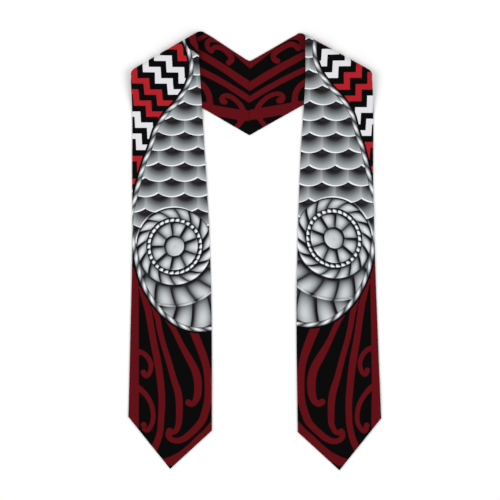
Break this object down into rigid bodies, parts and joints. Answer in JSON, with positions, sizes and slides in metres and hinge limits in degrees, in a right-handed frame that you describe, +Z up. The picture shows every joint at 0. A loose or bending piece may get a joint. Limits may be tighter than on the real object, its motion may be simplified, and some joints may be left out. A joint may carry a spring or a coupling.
{
  "type": "graduation stole",
  "caption": "Long two-sided cloth band with pointed ends, joined by a V-shaped seam behind the neck, laid flat with its neck band folded under at the shoulders.",
  "frame": {"origin": "middle of the laid-out stole's outline, on the surface that it lies on", "axes": "+Y along the front panels towards the shoulders, +X towards the panel on the right as seen from above, +Z up"},
  "size_m": [0.4422, 0.768, 0.0163],
  "materials": {
    "outer_cloth": "printed polyester satin, soft sheen: silver medallion, red and white stepped bands and dark red stems on black",
    "lining": "printed polyester satin: dark red ornament on black at the neck, plain black elsewhere"
  },
  "bodies": {
    "root": {"left_outer_cloth": "outer_cloth", "left_lining": "lining", "right_outer_cloth": "outer_cloth", "right_lining": "lining"}
  },
  "joints": []
}
